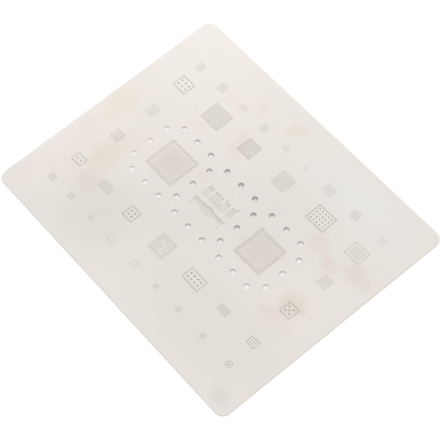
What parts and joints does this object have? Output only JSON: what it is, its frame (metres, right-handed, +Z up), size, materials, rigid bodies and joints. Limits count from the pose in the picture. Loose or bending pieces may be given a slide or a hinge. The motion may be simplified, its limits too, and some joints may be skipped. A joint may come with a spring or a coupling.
{
  "type": "solder paste stencil",
  "caption": "Thin stainless steel foil cut through with chip pad patterns and vent holes, for spreading solder paste or placing solder balls.",
  "frame": {"origin": "middle of the foil, on its underside", "axes": "+X along the long side, +Y along the short side, +Z up out of the printing side"},
  "size_m": [0.085, 0.067, 0.0001],
  "materials": {
    "stainless_foil": "satin"
  },
  "bodies": {
    "root": {"stencil_sheet": "stainless_foil"}
  },
  "joints": []
}
